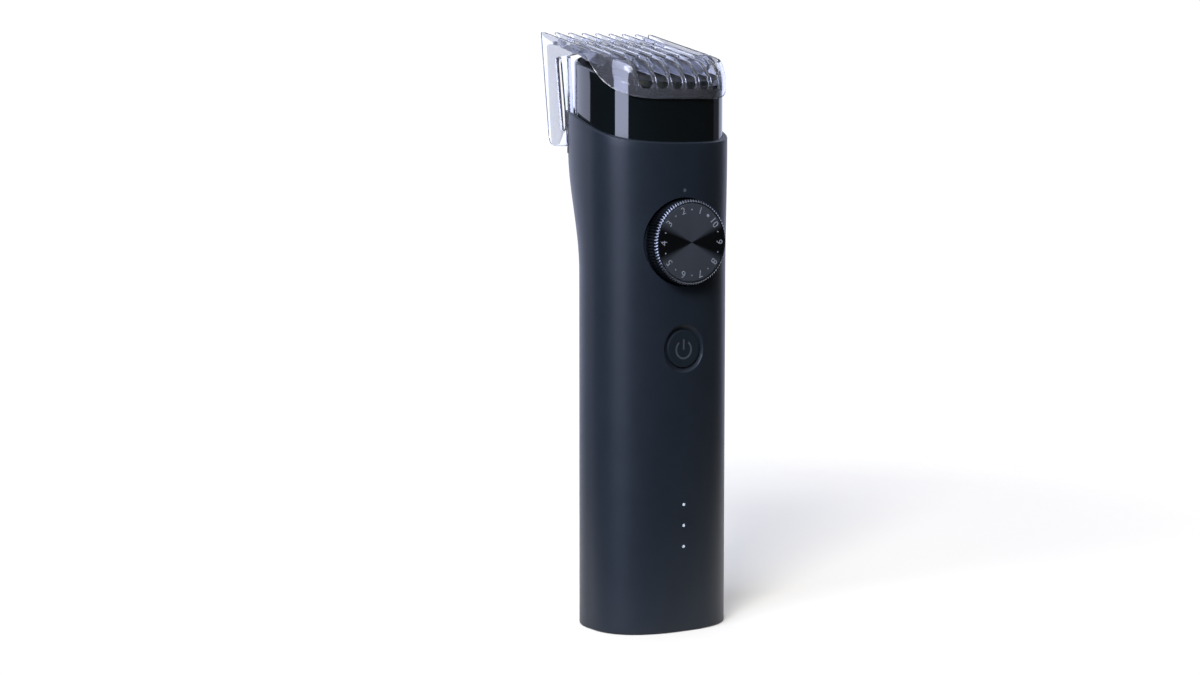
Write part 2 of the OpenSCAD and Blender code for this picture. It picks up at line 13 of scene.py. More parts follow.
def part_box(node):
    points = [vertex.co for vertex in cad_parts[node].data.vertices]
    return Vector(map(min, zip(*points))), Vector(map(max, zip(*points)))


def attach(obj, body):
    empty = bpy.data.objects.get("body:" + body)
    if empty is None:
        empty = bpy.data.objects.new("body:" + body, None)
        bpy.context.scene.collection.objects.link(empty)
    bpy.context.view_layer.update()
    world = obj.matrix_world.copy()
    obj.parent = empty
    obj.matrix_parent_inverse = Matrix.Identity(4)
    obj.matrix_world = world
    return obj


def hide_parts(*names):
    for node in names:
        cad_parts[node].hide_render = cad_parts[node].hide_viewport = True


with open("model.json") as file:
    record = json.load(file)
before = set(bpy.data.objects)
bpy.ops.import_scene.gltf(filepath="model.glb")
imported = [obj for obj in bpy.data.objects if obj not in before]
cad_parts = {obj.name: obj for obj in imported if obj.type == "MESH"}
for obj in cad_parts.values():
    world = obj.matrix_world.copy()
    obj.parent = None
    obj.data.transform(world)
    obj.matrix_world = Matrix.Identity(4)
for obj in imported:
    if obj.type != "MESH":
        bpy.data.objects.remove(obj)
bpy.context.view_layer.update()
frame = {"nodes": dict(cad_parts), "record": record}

MM = 0.001

# ---------- driving sizes, read from the frame where a node gives them ----------

# handle: a superellipse that swells to the back and flares a little to the sides under the head
shell_low, shell_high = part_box("body_shell")
FULLNESS = 2.5
FLARE = 0.5
BODY_B = 15.63
BODY_A = (shell_high[0] - shell_low[0]) / MM / 2 - FLARE
SWELL = 8.2
SWELL_Z = (96.0, 128.0)
WALL, RIM_WALL = 1.8, 1.3
RIM_FRONT, RIM_RISE = 130.4, 9.6

# head collar, and the sloping plane on top of the head
COLLAR_A, COLLAR_FRONT, COLLAR_BACK = 18.85, 14.7, 22.0
COLLAR_WALL = 1.2
COLLAR_Z0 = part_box("head_collar")[0][2] / MM
HEAD_Z = 149.3
SLOPE = math.tan(math.radians(12.5))

# dial
knob_low, knob_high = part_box("dial_knob")
DIAL_Z = (knob_low[2] + knob_high[2]) / MM / 2
DIAL_R = (knob_high[2] - knob_low[2]) / MM / 2
DIAL_BACK = knob_high[1] / MM
DIAL_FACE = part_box("dial_face")[0][1] / MM
TEETH = 84
STEPS_PER_TOOTH = 6
DIAL_STEP = math.radians(18)
MARK_R = 8.65
INDEX_DOT_RISE = 13.6

# power button
button_low, button_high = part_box("power_button")
BUTTON_Z = (button_low[2] + button_high[2]) / MM / 2
BUTTON_FACE = button_low[1] / MM
BUTTON_R = 5.0
BUTTON_GAP = 0.13

# battery lights, with the outer two this far from the ends of their box, in metres
LIGHT_INSET = 0.0008
lights_low, lights_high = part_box("status_lights")
LIGHT_ZS = [
    (lights_low[2] + LIGHT_INSET) / MM,
    (lights_low[2] + lights_high[2]) / MM / 2,
    (lights_high[2] - LIGHT_INSET) / MM,
]

# comb
FIN_PITCH, FIN_T, FINS_EACH_SIDE = 4.35, 1.2, 3
COMB_Z, COMB_BACK = 154.1, 28.8
COMB_A, COMB_B = 19.65, 15.55
BAND_Z = 141.85
SKIRT_T = 0.6
RIM_T = 2.6

# cutters reach from in front of the handle to behind its front wall
CUT_FRONT, CUT_BACK = -21, -12.5
# turned profiles stop just short of their axis
AXIS = 0.01
ROUND_STEPS, SMALL_STEPS = 128, 32


# ---------- materials ----------

def new_material(name, color, rough, metallic=0.0, **sockets):
    """A Principled material whose node tree the callers add detail to."""
    mat = bpy.data.materials.new(name)
    mat.use_nodes = True
    shader = mat.node_tree.nodes["Principled BSDF"]
    shader.inputs["Base Color"].default_value = (*color, 1)
    shader.inputs["Roughness"].default_value = rough
    shader.inputs["Metallic"].default_value = metallic
    for socket, value in sockets.items():
        shader.inputs[socket.replace("_", " ")].default_value = value
    return mat, mat.node_tree, shader


def coords(tree, scale=(1, 1, 1)):
    """The object's own coordinates, scaled along each axis."""
    where = tree.nodes.new("ShaderNodeTexCoord")
    mapping = tree.nodes.new("ShaderNodeMapping")
    mapping.inputs["Scale"].default_value = scale
    tree.links.new(where.outputs["Object"], mapping.inputs["Vector"])
    return mapping.outputs["Vector"]


def noise(tree, scale, detail, stretch=(1, 1, 1), rough=0.55):
    """A 0..1 noise texture. A large stretch along an axis packs the pattern along it."""
    tex = tree.nodes.new("ShaderNodeTexNoise")
    tex.inputs["Scale"].default_value = scale
    tex.inputs["Detail"].default_value = detail
    tex.inputs["Roughness"].default_value = rough
    tree.links.new(coords(tree, stretch), tex.inputs["Vector"])
    return tex.outputs["Fac"]


def ramp(tree, factor, low, high, start=0.3, end=0.7):
    """A colour ramp from low to high between two values of the factor."""
    node = tree.nodes.new("ShaderNodeValToRGB")
    node.color_ramp.elements[0].position = start
    node.color_ramp.elements[1].position = end
    node.color_ramp.elements[0].color = (*low, 1)
    node.color_ramp.elements[1].color = (*high, 1)
    tree.links.new(factor, node.inputs["Fac"])
    return node.outputs["Color"]


def spread(tree, factor, low, high):
    """Maps a 0..1 texture onto low..high."""
    return remap(tree, factor, 0.0, 1.0, low, high).outputs["Result"]


def bump(tree, shader, height, distance, strength):
    """Raises the surface by a texture, up to a distance in metres."""
    node = tree.nodes.new("ShaderNodeBump")
    node.inputs["Strength"].default_value = strength
    node.inputs["Distance"].default_value = distance
    tree.links.new(height, node.inputs["Height"])
    tree.links.new(node.outputs["Normal"], shader.inputs["Normal"])


def operate(tree, kind, operation, *sources):
    """A math node of a kind (Math or VectorMath) fed by the given sockets."""
    node = tree.nodes.new("ShaderNode" + kind)
    node.operation = operation
    for source, socket in zip(sources, node.inputs):
        tree.links.new(source, socket)
    return node


def remap(tree, source, from_min, from_max, to_min=0.0, to_max=1.0):
    """Maps one range of values onto another and holds it at the ends."""
    node = tree.nodes.new("ShaderNodeMapRange")
    node.inputs["From Min"].default_value = from_min
    node.inputs["From Max"].default_value = from_max
    node.inputs["To Min"].default_value = to_min
    node.inputs["To Max"].default_value = to_max
    tree.links.new(source, node.inputs["Value"])
    return node


def shade(color, k):
    """A colour made darker or lighter by a factor."""
    return tuple(min(1.0, c * k) for c in color)


def moulded(name, color, rough, grain=2600, grain_height=6e-6, patch=90, **sockets):
    """Moulded plastic: fine spark-eroded grain, faint colour and gloss patches."""
    color_play = 0.07
    gloss_play = 0.035
    mat, tree, shader = new_material(name, color, rough, **sockets)
    low, high = shade(color, 1 - color_play), shade(color, 1 + color_play)
    tint = ramp(tree, noise(tree, patch, 3), low, high)
    gloss = spread(tree, noise(tree, patch * 4, 5), rough - gloss_play, rough + gloss_play)
    tree.links.new(tint, shader.inputs["Base Color"])
    tree.links.new(gloss, shader.inputs["Roughness"])
    bump(tree, shader, noise(tree, grain, 2), grain_height, 0.6)
    return mat


def glossy(name, color, rough, **sockets):
    """Polished plastic: very slight waviness and a trace of handling haze."""
    mat, tree, shader = new_material(name, color, rough, **sockets)
    haze = spread(tree, noise(tree, 240, 6, rough=0.7), rough, rough + 0.035)
    tint = ramp(tree, noise(tree, 60, 2), shade(color, 0.85), shade(color, 1.15))
    tree.links.new(haze, shader.inputs["Roughness"])
    tree.links.new(tint, shader.inputs["Base Color"])
    bump(tree, shader, noise(tree, 45, 1), 5e-6, 0.25)
    return mat


def metal(name, color, rough, stretch=(1, 1, 40), scale=900, scratch=4e-6, anisotropic=0.4):
    """Ground or brushed metal: fine scratches along one direction."""
    mat, tree, shader = new_material(name, color, rough, 1.0, Anisotropic=anisotropic)
    lines = noise(tree, scale, 3, stretch)
    tint = ramp(tree, lines, shade(color, 0.86), shade(color, 1.08))
    tree.links.new(spread(tree, lines, rough - 0.08, rough + 0.1), shader.inputs["Roughness"])
    tree.links.new(tint, shader.inputs["Base Color"])
    bump(tree, shader, lines, scratch, 0.5)
    return mat


def board(name, color):
    """Circuit board: lacquer over faint tracks."""
    mat, tree, shader = new_material(name, color, 0.35)
    tracks = tree.nodes.new("ShaderNodeTexBrick")
    tracks.inputs["Scale"].default_value = 260
    tracks.inputs["Mortar Size"].default_value = 0.06
    tracks.inputs["Color1"].default_value = (*color, 1)
    tracks.inputs["Color2"].default_value = (*shade(color, 0.85), 1)
    tracks.inputs["Mortar"].default_value = (*shade(color, 1.9), 1)
    tree.links.new(coords(tree), tracks.inputs["Vector"])
    tree.links.new(tracks.outputs["Color"], shader.inputs["Base Color"])
    bump(tree, shader, noise(tree, 900, 2), 8e-6, 0.4)
    return mat


def spun(name, color, rough):
    """Sunburst-brushed metal: fine lines from the object's centre, and a painted reflection that darkens
    the colour in sectors towards the left and right.
    """
    mat, tree, shader = new_material(name, color, rough, 0.5, Anisotropic=0.6, Anisotropic_Rotation=0.0)
    tangent = tree.nodes.new("ShaderNodeTangent")
    tangent.direction_type = "RADIAL"
    tangent.axis = "Y"
    tree.links.new(tangent.outputs["Tangent"], shader.inputs["Tangent"])
    outward = operate(tree, "VectorMath", "NORMALIZE", coords(tree, (1, 0, 1)))
    split = tree.nodes.new("ShaderNodeSeparateXYZ")
    tree.links.new(outward.outputs["Vector"], split.inputs["Vector"])
    # mask for the painted reflection: how far a point lies above or below the centre
    painted_sheen_mask = operate(tree, "Math", "ABSOLUTE", split.outputs["Z"])
    turn = operate(tree, "Math", "ARCTAN2", split.outputs["X"], split.outputs["Z"])
    lines = tree.nodes.new("ShaderNodeTexNoise")
    lines.noise_dimensions = "1D"
    lines.inputs["Scale"].default_value = 55
    lines.inputs["Detail"].default_value = 3
    tree.links.new(turn.outputs["Value"], lines.inputs["W"])
    # painted reflection: dark sectors left and right of the centre, the colour cut to 6 percent there,
    # drawn in rather than left to the anisotropic sheen
    painted_sheen = ramp(tree, painted_sheen_mask.outputs["Value"], shade(color, 0.06), color, 0.33, 0.56)
    streaks = ramp(tree, lines.outputs["Fac"], (0.86, 0.86, 0.86), (1, 1, 1), 0.2, 0.8)
    both = tree.nodes.new("ShaderNodeMix")
    both.data_type = "RGBA"
    both.blend_type = "MULTIPLY"
    both.inputs["Factor"].default_value = 1.0
    tree.links.new(painted_sheen, both.inputs["A"])
    tree.links.new(streaks, both.inputs["B"])
    tree.links.new(both.outputs["Result"], shader.inputs["Base Color"])
    gloss = spread(tree, lines.outputs["Fac"], rough - 0.03, rough + 0.04)
    tree.links.new(gloss, shader.inputs["Roughness"])
    return mat


def clear(name, color, rough, ior, weight=1.0):
    """Clear moulded plastic with a trace of flow haze."""
    mat, tree, shader = new_material(name, color, rough, Transmission_Weight=weight, IOR=ior)
    haze = spread(tree, noise(tree, 160, 4), rough, rough + 0.05)
    tint = ramp(tree, noise(tree, 70, 2), shade(color, 0.95), color)
    tree.links.new(haze, shader.inputs["Roughness"])
    tree.links.new(tint, shader.inputs["Base Color"])
    bump(tree, shader, noise(tree, 50, 1), 1.2e-5, 0.15)
    return mat


def glow(name, color, strength):
    """Plastic lit from within."""
    mat, tree, shader = new_material(name, color, 0.3, Emission_Strength=strength)
    shader.inputs["Emission Color"].default_value = (*color, 1)
    tint = ramp(tree, noise(tree, 3000, 2), shade(color, 0.9), color)
    tree.links.new(tint, shader.inputs["Base Color"])
    return mat


GRAPHITE = (0.0128, 0.0182, 0.0262)
SLOTS = {
    "handle_plastic": moulded("handle_plastic", GRAPHITE, 0.4, Specular_IOR_Level=0.38),
    "button_plastic": moulded(
        "button_plastic", (0.0105, 0.0162, 0.0225), 0.42, grain=3000, Specular_IOR_Level=0.36),
    "seal_rubber": moulded("seal_rubber", (0.012, 0.012, 0.013), 0.7, grain=1500, grain_height=1e-5),
    "inner_plastic": moulded("inner_plastic", (0.05, 0.053, 0.06), 0.5),
    "white_plastic": moulded("white_plastic", (0.72, 0.7, 0.63), 0.4, patch=60),
    "chip_black": moulded("chip_black", (0.012, 0.013, 0.015), 0.55, grain=4000, grain_height=4e-6),
    "mark_grey": moulded("mark_grey", (0.075, 0.085, 0.105), 0.5, grain=5000, grain_height=2e-6),
    "cell_wrap": glossy("cell_wrap", (0.02, 0.14, 0.42), 0.2),
    "collar_gloss": glossy("collar_gloss", (0.0025, 0.0045, 0.0055), 0.02, Specular_IOR_Level=0.8),
    "head_plastic": moulded("head_plastic", (0.006, 0.007, 0.009), 0.5, Specular_IOR_Level=0.2),
    "led_white": moulded("led_white", (0.8, 0.79, 0.74), 0.3, grain=4000, grain_height=2e-6),
    "light_pipe": clear("light_pipe", (0.93, 0.95, 0.98), 0.08, ior=1.49),
    "board_green": board("board_green", (0.012, 0.11, 0.045)),
    "bright_metal": metal("bright_metal", (0.78, 0.79, 0.8), 0.22),
    "nickel_strip": metal("nickel_strip", (0.68, 0.66, 0.6), 0.35),
    "steel": metal("steel", (0.62, 0.63, 0.65), 0.3),
    "motor_steel": metal("motor_steel", (0.55, 0.57, 0.6), 0.38, stretch=(1, 1, 12)),
    "brass": metal("brass", (0.72, 0.5, 0.18), 0.3),
    "blade_steel": metal(
        "blade_steel", (0.5, 0.52, 0.56), 0.28, stretch=(30, 1, 1), scale=700, scratch=5e-6,
        anisotropic=0.6),
    "dial_metal": metal(
        "dial_metal", (0.045, 0.052, 0.065), 0.34, stretch=(1, 30, 1), scale=800, scratch=3e-6,
        anisotropic=0.2),
    # dial face: real brushed lines plus a painted reflection, dark sectors to the left and right
    "dial_face_metal": spun("dial_face_metal", (0.085, 0.1, 0.122), 0.36),
    "comb_clear": clear("comb_clear", (0.6, 0.62, 0.69), 0.02, ior=1.53, weight=0.94),
}
INK = moulded("dial_ink", (0.26, 0.28, 0.32), 0.5, grain=6000, grain_height=2e-6)
DIAL_BEVEL = metal(
    "dial_bevel_metal", (0.25, 0.28, 0.34), 0.3, stretch=(30, 1, 30), scale=500, scratch=2e-6,
    anisotropic=0.0)
BUTTON_INK = moulded("button_ink", (0.062, 0.07, 0.084), 0.45, grain=6000, grain_height=2e-6)
LED_GLOW = glow("led_glow", (0.8, 0.87, 1.0), 0.3)


# ---------- mesh helpers ----------

def mesh_from(name, bm):
    """Turns a bmesh into a mesh whose faces look outward."""
    bmesh.ops.recalc_face_normals(bm, faces=bm.faces)
    mesh = bpy.data.meshes.new(name)
    bm.to_mesh(mesh)
    bm.free()
    return mesh


def add_piece(name, bm, body, slot, replaces=(), sharp=32.0, material=None, at=(0, 0, 0)):
    """Makes a piece from a bmesh in millimetres."""
    mesh = mesh_from(name, bm)
    mesh.transform(Matrix.Scale(MM, 4))
    place(name, mesh, body, slot, replaces, sharp, material, at)


def place(name, mesh, body, slot, replaces, sharp, material=None, at=(0, 0, 0)):
    """Puts a piece in the scene, where it rides on a body. Edges sharper than an angle stay sharp."""
    obj = bpy.data.objects.new(name, mesh)
    obj.location = Vector(at) * MM
    bpy.context.scene.collection.objects.link(obj)
    mesh.materials.clear()
    mesh.materials.append(material or SLOTS[slot])
    mesh.shade_smooth()
    mesh.set_sharp_from_angle(angle=math.radians(sharp))
    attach(obj, body)
    if replaces:
        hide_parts(*replaces)


def temp_object(name, bm):
    """Puts a bmesh in the scene for a while, still in millimetres."""
    obj = bpy.data.objects.new(name, mesh_from(name, bm))
    bpy.context.scene.collection.objects.link(obj)
    return obj


def boolean(target, cutters):
    """Cuts a temporary object with exact booleans and removes the cutters."""
    for cutter in cutters:
        mod = target.modifiers.new("cut", "BOOLEAN")
        mod.operation = "DIFFERENCE"
        mod.solver = "EXACT"
        mod.object = cutter
        graph = bpy.context.evaluated_depsgraph_get()
        mesh = bpy.data.meshes.new_from_object(target.evaluated_get(graph))
        target.modifiers.clear()
        target.data = mesh
        bpy.data.objects.remove(cutter)
    return target


def finish_temp(obj, name, body, slot, replaces, sharp):
    """Makes the final piece from a temporary object that is still in millimetres."""
    mesh = obj.data
    bpy.data.objects.remove(obj)
    mesh.name = name
    mesh.transform(Matrix.Scale(MM, 4))
    place(name, mesh, body, slot, replaces, sharp)


def sweep(rings, closed_loop=False):
    """Skins a stack of equal rings of points, capped at both ends unless it closes on itself."""
    bm = bmesh.new()
    rows = [[bm.verts.new(p) for p in ring] for ring in rings]
    n = len(rows[0])
    pairs = list(zip(rows, rows[1:]))
    if closed_loop:
        pairs.append((rows[-1], rows[0]))
    for low, high in pairs:
        for i in range(n):
            bm.faces.new((low[i], low[(i + 1) % n], high[(i + 1) % n], high[i]))
    if not closed_loop:
        bm.faces.new(list(reversed(rows[0])))
        bm.faces.new(rows[-1])
    return bm


def sweep_columns(columns):
    """Skins closed columns of points that stand side by side round an outline."""
    rings = [[column[k] for column in columns] for k in range(len(columns[0]))]
    return sweep(rings, closed_loop=True)


def prism(points, x0, x1):
    """A profile in the YZ plane, extruded across X."""
    bm = bmesh.new()
    near = [bm.verts.new((x0, y, z)) for y, z in points]
    far = [bm.verts.new((x1, y, z)) for y, z in points]
    n = len(points)
    for i in range(n):
        bm.faces.new((near[i], near[(i + 1) % n], far[(i + 1) % n], far[i]))
    bm.faces.new(near)
    bm.faces.new(list(reversed(far)))
    return bm


def inset_polygon(points, d):
    """Moves every side of a profile inward by d."""
    n = len(points)
    following = points[1:] + points[:1]
    area = sum(p[0] * q[1] - q[0] * p[1] for p, q in zip(points, following))
    turn = 1 if area > 0 else -1
    sharpest_miter = 0.35
    out = []
    for i in range(n):
        p, q, r = Vector(points[i - 1]), Vector(points[i]), Vector(points[(i + 1) % n])
        e1, e2 = (q - p).normalized(), (r - q).normalized()
        n1 = Vector((-e1.y, e1.x)) * turn
        n2 = Vector((-e2.y, e2.x)) * turn
        miter = (n1 + n2) / max(sharpest_miter, 1 + n1.dot(n2))
        out.append(tuple(q + miter * d))
    return out


def soft_prism(points, x0, x1):
    """A prism with rounded edges round both faces."""
    r = 0.16
    arc = [math.pi / 2 * k / 3 for k in range(4)]
    rings = []
    for end, way in ((x0, 1), (x1, -1)):
        for a in arc if way > 0 else reversed(arc):
            ring = inset_polygon(points, r * (1 - math.sin(a)))
            rings.append([(end + way * r * (1 - math.cos(a)), y, z) for y, z in ring])
    return sweep(rings)


def block(low, high):
    """A box between two opposite corners."""
    x0, y0, z0 = low
    x1, y1, z1 = high
    return prism([(y0, z0), (y1, z0), (y1, z1), (y0, z1)], x0, x1)


def lathe_y(profile, centre_z, steps, radius_at=None):
    """Turns a closed (radius, y) profile round a Y axis at height centre_z.

    radius_at may change a radius by the angle and by its place in the profile.
    """
    rings = []
    for i in range(steps):
        a = 2 * math.pi * i / steps
        ring = []
        for k, (r, y) in enumerate(profile):
            reach = radius_at(a, r, k) if radius_at else r
            ring.append((reach * math.sin(a), y, centre_z + reach * math.cos(a)))
        rings.append(ring)
    return sweep(rings, closed_loop=True)


def front_drill(radius, centre_z, steps, back=CUT_BACK):
    """Round cutter into the handle's front face, as far as back."""
    profile = [(AXIS, CUT_FRONT), (radius, CUT_FRONT), (radius, back), (AXIS, back)]
    return lathe_y(profile, centre_z, steps)


def merge_bm(target, source):
    """Adds one bmesh to another and frees it."""
    mesh = bpy.data.meshes.new("merge")
    source.to_mesh(mesh)
    source.free()
    target.from_mesh(mesh)
    bpy.data.meshes.remove(mesh)


# ---------- the handle's outline ----------

def signed_power(v, p):
    """A power that keeps the sign of its base."""
    return math.copysign(abs(v) ** p, v)


def outline_point(t, a, front, back):
    """A point of the superellipse with half width a and its own depth to the front and back."""
    c, s = math.cos(t), math.sin(t)
    b = front if s < 0 else back
    return signed_power(c, 2 / FULLNESS) * a, signed_power(s, 2 / FULLNESS) * b


def even_stations(count, a, b):
    """Parameters that space points evenly along an outline."""
    fine = 7200
    fine_ts = [2 * math.pi * i / fine for i in range(fine + 1)]
    points = [outline_point(t, a, b, b) for t in fine_ts]
    run = [0.0]
    for p, q in zip(points, points[1:]):
        run.append(run[-1] + math.dist(p, q))
    stations, j = [], 0
    for i in range(count):
        want = run[-1] * i / count
        while run[j + 1] < want:
            j += 1
        share = (want - run[j]) / (run[j + 1] - run[j])
        stations.append(fine_ts[j] + share * (fine_ts[j + 1] - fine_ts[j]))
    return stations


def ease(t):
    """A smooth step from 0 to 1."""
    t = min(max(t, 0.0), 1.0)
    return t * t * (3 - 2 * t)


def swell_at(z):
    """Share of the full swell at a height."""
    return ease((z - SWELL_Z[0]) / (SWELL_Z[1] - SWELL_Z[0]))


def shell_point(t, z, inset):
    """A point of the handle's outline at a height, moved inward by inset."""
    k = swell_at(z)
    return outline_point(t, BODY_A + FLARE * k - inset, BODY_B - inset, BODY_B + SWELL * k - inset)


def rim_at(y):
    """Height of the rim, which rises from front to back."""
    rise_length = 40
    t = min(max((y + BODY_B) / rise_length, 0.0), 1.0)
    return RIM_FRONT + RIM_RISE * (ease(t) + math.sin(math.pi / 2 * t)) / 2


def wall_at(z):
    """Thickness of the handle's wall at a height."""
    return WALL - (WALL - RIM_WALL) * swell_at(z)


def rim_height(t, inset):
    """Height of the rim over one station, found by repeating, as y depends on the height too."""
    z = RIM_FRONT
    for _ in range(6):
        z = rim_at(shell_point(t, z, inset)[1])
    return z


def front_at(a, front, x):
    """The outline's front y at an x."""
    return -front * (1 - (abs(x) / a) ** FULLNESS) ** (1 / FULLNESS)


# ---------- handle ----------

def shell_column(t):
    """Points up the outside of the handle, over the rim and down the inside, at one station."""
    foot = [(0.62, 0.0), (0.42, 0.03), (0.26, 0.1), (0.13, 0.22), (0.04, 0.4), (0.0, 0.65)]
    straight = [3.0 + i * 6.2 for i in range(15)] + [92.5 + i * 2.55 for i in range(1, 11)]
    split = 118.0
    rim_r = 0.42
    rim_chamfer = 0.15

    points = [(*shell_point(t, z, inset), z) for inset, z in foot]
    points += [(*shell_point(t, z, 0), z) for z in straight]
    top = rim_height(t, 0)
    for i in range(1, 7):
        z = split + (top - rim_r - split) * (i / 6)
        points.append((*shell_point(t, z, 0), z))
    for i in range(1, 6):
        a = math.pi / 2 * i / 5
        z = top - rim_r + rim_r * math.sin(a)
        points.append((*shell_point(t, z, rim_r * (1 - math.cos(a))), z))
    for inset, drop in ((RIM_WALL - rim_chamfer, 0.0), (RIM_WALL, rim_chamfer)):
        z = rim_at(shell_point(t, top, inset)[1]) - drop
        points.append((*shell_point(t, z, inset), z))
    inner = [top - (top - split) * i / 4 for i in range(1, 5)] + [108.0, 96.0, 60.0, 30.0, 0.0]
    points += [(*shell_point(t, z, wall_at(z)), z) for z in inner]
    return points


def shell_cutters():
    """Cutters for the dial's pocket, button recess, light holes, index dot and the slits for the comb."""
    recess = [
        (AXIS, CUT_FRONT), (BUTTON_R + 1.4, CUT_FRONT), (BUTTON_R + 1.4, -15.5),
        (BUTTON_R + 1.25, -15.3), (BUTTON_R + 0.7, -14.85), (BUTTON_R + BUTTON_GAP, -14.68),
        (BUTTON_R + BUTTON_GAP, CUT_BACK), (AXIS, CUT_BACK),
    ]
    dial_gap = 0.4
    light_r = 0.45
    dot_r, dot_depth = 0.5, 0.3
    slit_in, slit_out, slit_z = 16.6, 18.2, 126.3
    cutters = [
        temp_object("pocket", front_drill(DIAL_R + dial_gap, DIAL_Z, ROUND_STEPS)),
        temp_object("hole", lathe_y(recess, BUTTON_Z, ROUND_STEPS)),
    ]
    for z in LIGHT_ZS:
        cutters.append(temp_object("light", front_drill(light_r, z, SMALL_STEPS)))
    dot = front_drill(dot_r, DIAL_Z + INDEX_DOT_RISE, SMALL_STEPS, -BODY_B + dot_depth)
    cutters.append(temp_object("dot", dot))
    for x0, x1 in ((-slit_out, -slit_in), (slit_in, slit_out)):
        cutters.append(temp_object("slit", block((x0, 10, slit_z), (x1, 26, 150))))
    return cutters


def build_shell():
    """Handle shell with its openings, and the floor of the dial's pocket."""
    columns = [shell_column(t) for t in even_stations(232, BODY_A, BODY_B)]
    shell = boolean(temp_object("shell", sweep_columns(columns)), shell_cutters())
    pocket_floor = [(3.6, -13.5), (12.1, -13.5), (12.15, -13.45), (12.15, -11.9), (3.6, -11.9)]
    bm = bmesh.new()
    bm.from_mesh(shell.data)
    merge_bm(bm, lathe_y(pocket_floor, DIAL_Z, ROUND_STEPS))
    bm.to_mesh(shell.data)
    bm.free()
    finish_temp(shell, "handle_shell", "housing", "handle_plastic", replaces=("body_shell",), sharp=30)


def build_lights():
    """Domed ends of the three light pipes, lit."""
    dome = [(AXIS, -15.6), (0.2, -15.59), (0.34, -15.56), (0.4, -15.5), (0.4, -15.3), (AXIS, -15.3)]
    bm = bmesh.new()
    for z in LIGHT_ZS:
        merge_bm(bm, lathe_y(dome, z, SMALL_STEPS))
    add_piece("battery_lights", bm, "housing", "led_white", material=LED_GLOW)


# ---------- dial ----------

def toothed(depths):
    """Pulls the gaps between the teeth in, by a depth for each profile point that carries the knurl."""
    def radius(a, r, k):
        phase = (a * TEETH / (2 * math.pi)) % 1.0
        return r - depths.get(k, 0.0) * (0.5 - 0.5 * math.cos(2 * math.pi * phase))
    return radius


def build_knob():
    """Dark knurled body of the dial, and the bright bevel cut on its front edge."""
    face = DIAL_FACE
    body = [
        (10.42, face + 0.35), (10.9, face + 0.5), (DIAL_R - 0.12, face + 0.86), (DIAL_R, face + 1.05),
        (DIAL_R, DIAL_BACK - 0.5), (DIAL_R - 0.25, DIAL_BACK - 0.2), (DIAL_R - 0.6, DIAL_BACK),
        (2.5, DIAL_BACK), (2.5, face + 1.7), (10.42, face + 1.7),
    ]
    bm = lathe_y(body, DIAL_Z, TEETH * STEPS_PER_TOOTH, toothed({2: 0.3, 3: 0.34, 4: 0.34, 5: 0.2}))
    add_piece("dial_ring", bm, "dial", "dial_metal", replaces=("dial_knob",), sharp=38)
    bevel = [
        (10.36, face + 0.3), (10.4, face + 0.03), (10.5, face), (10.66, face + 0.02), (11.0, face + 0.3),
        (DIAL_R - 0.03, face + 0.72), (DIAL_R - 0.05, face + 0.84), (10.9, face + 0.48), (10.6, face + 0.4),
    ]
    bm = lathe_y(bevel, DIAL_Z, TEETH * STEPS_PER_TOOTH, toothed({3: 0.05, 4: 0.26, 5: 0.42, 6: 0.42}))
    add_piece("dial_bevel", bm, "dial", "dial_metal", sharp=38, material=DIAL_BEVEL)


def build_dial_face():
    """Face of the dial, made about its own centre, from which its material's lines and painted reflection
    sectors run.
    """
    profile = [
        (0.02, 0.03), (0.35, 0.05), (0.6, 0.03), (9.9, 0.0), (10.15, 0.02), (10.28, 0.1), (10.3, 0.3),
        (10.3, 0.7), (0.02, 0.7),
    ]
    centre = (0, DIAL_FACE, DIAL_Z)
    bm = lathe_y(profile, 0.0, 192)
    add_piece("dial_disc", bm, "dial", "dial_face_metal", replaces=("dial_face",), sharp=30, at=centre)


def mark_mesh(text, size):
    """Slightly raised text, centred on its origin."""
    data = bpy.data.curves.new("mark", "FONT")
    data.body = text
    data.size = size
    data.align_x = "CENTER"
    data.align_y = "CENTER"
    data.extrude = 0.02
    data.resolution_u = 4
    data.offset = -0.016
    obj = bpy.data.objects.new("mark", data)
    bpy.context.scene.collection.objects.link(obj)
    graph = bpy.context.evaluated_depsgraph_get()
    mesh = bpy.data.meshes.new_from_object(obj.evaluated_get(graph))
    bpy.data.objects.remove(obj)
    bpy.data.curves.remove(data)
    return mesh


def on_dial(turn):
    """Frame on the dial's face, at an angle clockwise from the top, whose up points outward."""
    sunk = 0.005
    return (Matrix.Translation((0, DIAL_FACE - sunk, DIAL_Z))
            @ Matrix.Rotation(turn, 4, "Y")
            @ Matrix.Translation((0, 0, MARK_R))
            @ Matrix.Rotation(math.pi / 2, 4, "X"))


def build_marks():
    """Numbers 1 to 10, a dot between each two, and a larger dot between 10 and 1."""
    dot_r, big_dot_r = 0.2, 0.42
    bm = bmesh.new()
    for number in range(1, 11):
        mesh = mark_mesh(str(number), 2.75)
        mesh.transform(on_dial(DIAL_STEP * (3 - 2 * number)))
        bm.from_mesh(mesh)
        bpy.data.meshes.remove(mesh)
    for k in range(10):
        r = big_dot_r if k == 9 else dot_r
        dot = bmesh.new()
        bmesh.ops.create_cone(dot, cap_ends=True, segments=20, radius1=r, radius2=r, depth=0.04)
        dot.transform(on_dial(-2 * k * DIAL_STEP))
        merge_bm(bm, dot)
    bm.normal_update()
    add_piece("dial_marks", bm, "dial", "mark_grey", material=INK)


# ---------- power button ----------

